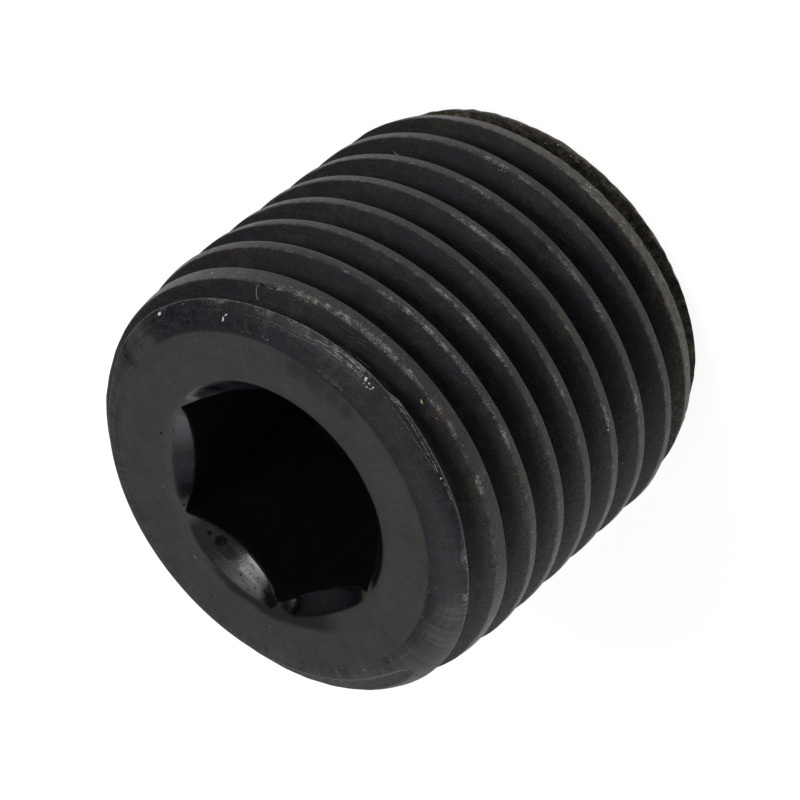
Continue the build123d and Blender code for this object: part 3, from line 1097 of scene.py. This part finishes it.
def skin_tone(b, s, finish):
    """Colour of the finish: black in the groove, paler on the face, brown where it is oily, with painted
    light and shade on the flanks and crests of one side and painted light on one side of the shoulder.
    """
    oily = b.step(s.hue + s.olive * 0.12 - s.violet * 0.14 + s.beside * 0.05 + s.mottle * 0.6, 0.04, 0.18)
    warm = b.blend(b.step(s.hue + s.olive * 0.05, -0.06, 0.14), finish.matte, finish.warm)
    lens = b.blend(s.violet, finish.lens, b.shade(finish.lens, 2.6))
    oxide = b.shade(finish.oxide, 0.8), b.shade(finish.oxide, 1.25)
    tone = b.blend(b.step(s.hue - s.cloud, -0.15, 0.2), *oxide)
    for amount, layer in (
        # the crests' rubbed finish, less where the crests are painted darker as painted shade, then the
        # painted light on that side's flanks
        (s.rubbed, finish.crest), (s.chalky * 0.85, finish.matte), (s.head, finish.shoulder),
        (oily * (0.70 - s.head * 0.15), finish.olive), (s.pale, warm), (s.gloss, lens),
    ):
        tone = b.blend(amount, tone, layer)
    # grain: strong in the groove and on the crests, faint on the face
    coarse = s.coarse * (s.grain * 4.2 + s.fine * 3.6 + s.mottle * 3.0 + s.lines * s.thread * 0.5)
    turned = (s.reed * 1.8 + s.ring * 1.6) * (s.head - s.flat * 0.75)
    tone = b.shade(tone, b.most(1 + coarse + turned + s.cloud * 0.5 + s.hue * s.flat * 0.3, 0.10))
    dirt = b.least(b.most(s.sooty * (0.5 + s.mottle), 0.0) + s.mouth, 0.93)
    tone = b.blend(dirt, tone, finish.soot)
    scale = b.shade(finish.olive, b.most(1.9 + s.grain * 13.0 + s.mottle * 9.0, 0.2))
    return b.blend(s.foot * 0.85, tone, scale)


def skin_bare(b, s):
    """Where steel shows: specks on the crests, and ragged lines along the edges in the worn places."""
    leading = b.band(s.edge + s.mottle * 0.10 + s.grain * 0.12, -0.04 - s.worn * 0.06, 0.012, 0.04)
    rim = b.most(leading * b.step(s.depth, 0.3, 0.1) * s.thread,
                 b.step(s.trail, 0.055 + s.worn * 0.20, 0.015) * s.head)
    sheen = b.step(s.worn * 0.10 + s.mottle * 0.9 + s.grain * 0.5, 0.0, 0.22) * 0.10
    torn = b.step(s.speck + s.worn * 0.06 + s.mottle * 0.5, 0.05, 0.24) * (0.26 + s.worn * 0.24)
    specks = s.crest * s.thread * (0.5 + s.worn) + s.beside * s.worn * 0.5 + s.head * (1 - s.pale) * s.worn
    bare = b.most(rim * (sheen + torn), specks * b.step(s.speck + s.worn * 0.04, 0.13, 0.24) * 0.30)
    bare = b.most(bare, s.foot * b.step(s.speck + s.mottle * 0.5, 0.08, 0.22) * 0.45)
    return b.most(bare, b.band(s.trail, 0.0, 0.02, 0.02) * s.head * (0.14 + s.fine))


def skin_pits(b, s, sight):
    """Where the dark pits are, the larger ones ragged at the rim."""
    stray = b.vector(s.grain * 0.14 + s.mottle * 0.20, s.fine * 0.16 + s.mottle * 0.16, s.grain * 0.14)
    torn = b.vectors("ADD", s.spot, stray)
    pits = 0.0
    for x, y, reach in DARK_SPOTS:
        spot = torn if reach > 2.5 else s.spot
        pits = b.most(pits, b.near(spot, sight.at(x, y)[0], reach / PIXELS * 1.4, reach / PIXELS * 0.6))
    return b.step(pits + s.grain * 0.9 + s.mottle * 1.5, 0.3, 0.95)


def skin_material(finish, sight):
    """Matte face, dark shoulder, black groove, rubbed crests, bare leading corners and rough foot."""
    material, b = new_material("oxide_skin")
    s = skin_textures(b)
    skin_regions(b, s, sight)
    bare, pits = skin_bare(b, s), skin_pits(b, s, sight)
    tone = b.blend(pits * 0.85, skin_tone(b, s, finish), finish.pit)
    tone = b.blend(bare, tone, finish.bare)
    rough = 0.50 + s.thread * (1 - s.crest) * 0.07 - s.crest * s.thread * 0.05 + s.pale * 0.10
    rough = rough - s.gloss * (0.40 - s.ring * 0.6)
    rough = rough + (s.coarse - s.gloss * 0.4) * (s.grain * 0.5 + s.mottle * 0.4)
    rough = rough + s.foot * 0.15 + (s.sooty + s.mouth) * 0.12 - bare * 0.1
    bump = (s.grain + s.fine * 0.45 + s.mottle * 1.2) * (1.0 - s.head * 0.55 - s.lens * 0.36)
    finish_surface(b, tone, b.most(rough, 0.1), b.most(bare * 0.6, pits * 0.72), bump, 1.0, 0.026, 1.44)
    return material


def dust_material(name, tone):
    """Pale grains with a little sheen."""
    material, b = new_material(name)
    grain = b.noise(b.place(), 30.0, 2.0)
    finish_surface(b, b.shade(tone, 0.85 + grain * 0.3), 0.45, 0.0, grain, 0.3, 0.01)
    return material


def scratch_material(name, tone, metal):
    """Metal torn bare, or a dark gouge."""
    material, b = new_material(name)
    grain = b.noise(b.place(), 22.0, 2.0) - 0.5
    tone = b.shade(tone, b.most(1.0 + grain * 3.5, 0.15))
    finish_surface(b, tone, 0.45 + grain * 0.4, metal, grain, 0.3, 0.01)
    return material


def socket_material(finish):
    """Black flats, with broaching marks."""
    material, b = new_material("oxide_socket")
    spot = b.place()
    grain = b.noise(spot, 14.0, 3.0, 0.65)
    broach = b.noise(b.vectors("MULTIPLY", spot, (12.0, 12.0, 0.35)), 1.0, 2.0, 0.5)
    tone = b.blend(b.step(b.noise(spot, 1.4), 0.4, 0.65), finish.socket_dark, finish.socket_light)
    tone = b.shade(tone, 0.7 + grain * 0.5)
    finish_surface(b, tone, 0.42 + (grain - 0.5) * 0.15, 0.0, grain * 0.4 + broach * 0.5, 0.35)
    return material


def foot_material(finish):
    """Turned foot face."""
    material, b = new_material("oxide_foot")
    spot = b.place()
    x, y, _ = b.parts(spot)
    grain = b.noise(spot, 14.0, 3.0, 0.65)
    ring = b.noise(b.vector((x * x + y * y) ** 0.5 * 7.0, 0.0, 0.0), 1.0, 2.0)
    tone = b.shade(b.blend(b.step(grain, 0.4, 0.6), finish.matte, finish.crest), 0.75 + ring * 0.4)
    finish_surface(b, tone, 0.5 + (grain - 0.5) * 0.2, 0.0, grain * 0.4 + ring * 0.6, 0.4)
    return material


# ---- pieces ----


def add_piece(scene, mesh, *materials):
    """Adds a finished piece, which rides on the plug's one body, in its finish."""
    for material in materials:
        mesh.materials.append(material)
    piece = bpy.data.objects.new(mesh.name, mesh)
    scene.collection.objects.link(piece)
    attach(piece, "root")
    return piece


def body_sight(scene):
    """Sight lines onto the finished body."""
    body = bpy.data.objects.get("plug_body")
    if body is None:
        raise RuntimeError("the plug's body comes first")
    return Sight(scene.plug_studio, body.data)


class PLUG_OT_body(bpy.types.Operator):
    """Build the plug with its worn thread, shoulder, face and key socket"""

    bl_idname = "plug.body"
    bl_label = "Plug body"

    def execute(self, context):
        scene = context.scene
        finish = scene.plug_finish
        mesh = plug_mesh(Form(scene.plug_sizes, scene.plug_wear))
        sight = Sight(scene.plug_studio, mesh)
        note_patches(mesh, sight)
        materials = skin_material(finish, sight), socket_material(finish), foot_material(finish)
        piece = add_piece(scene, mesh, *materials)
        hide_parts("plug")
        return {"FINISHED"}


class PLUG_OT_scratches(bpy.types.Operator):
    """Score the plug's skin with bright, faint and dark scratches"""

    bl_idname = "plug.scratches"
    bl_label = "Scratches"

    def execute(self, context):
        scene = context.scene
        sight, finish = body_sight(scene), scene.plug_finish
        for name, scratches, tone, metal in (
            ("plug_bright_scratches", BRIGHT_SCRATCHES, finish.bright_scratch, 0.5),
            ("plug_faint_scratches", FAINT_SCRATCHES, finish.faint_scratch, 0.3),
            ("plug_dark_scratches", DARK_SCRATCHES, finish.dark_scratch, 0.0),
        ):
            add_piece(scene, scratch_mesh(sight, scratches, name, 9), scratch_material(name, tone, metal))
        return {"FINISHED"}


class PLUG_OT_dust(bpy.types.Operator):
    """Bed the bright chips, one of them a painted highlight, the grey specks, the amber chip and the fibres
    in the plug's skin
    """

    bl_idname = "plug.dust"
    bl_label = "Chips and dust"

    def execute(self, context):
        scene = context.scene
        sight, finish = body_sight(scene), scene.plug_finish
        for mesh, tone in (
            (chip_mesh(sight, WHITE_CHIPS_AND_HIGHLIGHT, "plug_chips_and_highlight", 5), finish.lint_and_highlight),
            (chip_mesh(sight, GREY_SPECKS, "plug_specks", 7), finish.dust),
            (chip_mesh(sight, AMBER_CHIPS, "plug_amber_chip", 6), finish.amber),
            (fibre_mesh(sight, FIBRES, "plug_fibres"), finish.dust),
        ):
            add_piece(scene, mesh, dust_material(mesh.name, tone))
        return {"FINISHED"}


class PLUG_OT_studio(bpy.types.Operator):
    """Set out the light table, the cards, the lamp and the camera"""

    bl_idname = "plug.studio"
    bl_label = "Studio"

    def execute(self, context):
        scene = context.scene
        studio = scene.plug_studio
        lay_table(scene, studio)
        hang_cards(scene)
        hang_lamp(scene, studio)
        set_camera(scene, studio)
        scene.view_settings.view_transform = "Standard"
        scene.view_settings.look = "None"
        return {"FINISHED"}


# ---- studio ----

# Pale cards round the studio: azimuth, elevation, half angle, half angle of the even middle, in degrees,
# and brightness
CARDS = (
    (120, 60, 34, 4, 0.66), (157.5, 34, 34, 4, 0.52), (292.5, 34, 34, 4, 0.18), (135, 8, 34, 4, 1.40),
    (112.5, 34, 34, 4, 0.18), (270, 8, 34, 4, 0.14), (60, 60, 34, 4, 0.13), (0, 8, 34, 4, 0.20),
    (240, 60, 34, 4, 0.36), (180, 60, 34, 4, 0.10), (-43, 57, 12, 10.5, 9.0), (-66, 50, 14, 11, 0.62),
    (-75, 36, 14, 11, 0.13), (120, 48, 14, 11, 0.35), (95, 60, 14, 11, 0.23), (145, 60, 14, 11, 0.22),
)
KEY_WAY = (-22, 73)  # azimuth and elevation of the key lamp, in degrees
PLUG_MIDDLE = Vector((0, 0, 0.006))  # what the key lamp is turned to, in metres


def heading(azimuth, elevation):
    """Unit vector towards an azimuth from +X and an elevation, both in degrees."""
    a, e = math.radians(azimuth), math.radians(elevation)
    return Vector((math.cos(a) * math.cos(e), math.sin(a) * math.cos(e), math.sin(e)))


def lay_table(scene, studio):
    """A pale light table, flat and wide."""
    half = studio.table_width / 2
    mesh = bpy.data.meshes.new("light_table")
    corners = [(-half, -half, 0), (half, -half, 0), (half, half, 0), (-half, half, 0)]
    mesh.from_pydata(corners, [], [(0, 1, 2, 3)])
    material, b = new_material("light_table")
    matte = b.node("ShaderNodeBsdfDiffuse", None, {"Color": (*studio.table, 1.0)})
    glow = b.node("ShaderNodeEmission", None, {"Color": (1.0, 1.0, 1.0, 1.0), "Strength": studio.glow})
    both = b.node("ShaderNodeAddShader", None, {0: matte, 1: glow})
    b.node("ShaderNodeOutputMaterial", None, {"Surface": both})
    mesh.materials.append(material)
    table = bpy.data.objects.new("light_table", mesh)
    scene.collection.objects.link(table)


def hang_cards(scene):
    """A dark studio with pale cards round it, none below the table."""
    world = bpy.data.worlds.new("studio")
    world.use_nodes = True
    scene.world = world
    b = Bench(world.node_tree)
    way = b.node("ShaderNodeTexCoord", out="Generated")
    light = 0.0
    for azimuth, elevation, outer, inner, bright in CARDS:
        facing = b.vectors("DOT_PRODUCT", way, heading(azimuth, elevation), out="Value")
        card = b.step(facing, math.cos(math.radians(outer)), math.cos(math.radians(inner)))
        light = light + card * bright
    above = b.step(b.parts(way)[2], -0.02, 0.0)
    shine = b.shade((1.0, 1.0, 1.0), light * above)
    sky = b.node("ShaderNodeBackground", None, {"Color": shine, "Strength": 1.0})
    b.node("ShaderNodeOutputWorld", None, {"Surface": sky})


def hang_lamp(scene, studio):
    """One soft key lamp."""
    lamp = bpy.data.lights.new("key_lamp", "AREA")
    lamp.shape = "DISK"
    lamp.size = studio.key_width
    lamp.energy = studio.key_power
    key = bpy.data.objects.new("key_lamp", lamp)
    way = heading(*KEY_WAY)
    key.location = PLUG_MIDDLE + way * studio.key_distance
    key.rotation_mode = "QUATERNION"
    key.rotation_quaternion = way.to_track_quat("Z", "Y")
    scene.collection.objects.link(key)


def set_camera(scene, studio):
    """The camera, looking down at the socket with the plug's axis across the frame."""
    right, up, back = camera_axes(studio)
    data = bpy.data.cameras.new("camera")
    data.sensor_width = SENSOR
    data.lens = studio.lens / MM
    data.clip_start, data.clip_end = 0.02, 20.0
    camera = bpy.data.objects.new("camera", data)
    turned = Matrix((right, up, back)).transposed()
    camera.matrix_world = Matrix.Translation(AIM * MM + back * studio.distance) @ turned.to_4x4()
    scene.collection.objects.link(camera)
    scene.camera = camera


# ---- sidebar ----

STEPS = (PLUG_OT_body, PLUG_OT_scratches, PLUG_OT_dust, PLUG_OT_studio)
GROUPS = (
    ("plug_sizes", PlugSizes, "Sizes"),
    ("plug_wear", PlugWear, "Wear"),
    ("plug_finish", PlugFinish, "Finish"),
    ("plug_studio", PlugStudio, "Studio"),
)


class PLUG_PT_sidebar(bpy.types.Panel):
    """Sizes, wear, finish and steps of the plug"""

    bl_idname = "PLUG_PT_sidebar"
    bl_label = "Hex Socket Plug"
    bl_space_type = "VIEW_3D"
    bl_region_type = "UI"
    bl_category = "Plug"

    def draw(self, context):
        for key, group, label in GROUPS:
            box = self.layout.box()
            box.label(text=label)
            for name in group.__annotations__:
                box.prop(getattr(context.scene, key), name)
        for step in STEPS:
            self.layout.operator(step.bl_idname)


def register():
    for key, group, _ in GROUPS:
        bpy.utils.register_class(group)
        setattr(bpy.types.Scene, key, bpy.props.PointerProperty(type=group))
    for item in (*STEPS, PLUG_PT_sidebar):
        bpy.utils.register_class(item)


def unregister():
    for item in reversed((*STEPS, PLUG_PT_sidebar)):
        bpy.utils.unregister_class(item)
    for key, group, _ in reversed(GROUPS):
        delattr(bpy.types.Scene, key)
        bpy.utils.unregister_class(group)


def main():
    """Builds everything in order."""
    register()
    bpy.ops.plug.body()
    bpy.ops.plug.scratches()
    bpy.ops.plug.dust()
    bpy.ops.plug.studio()


if __name__ == "__main__":
    main()
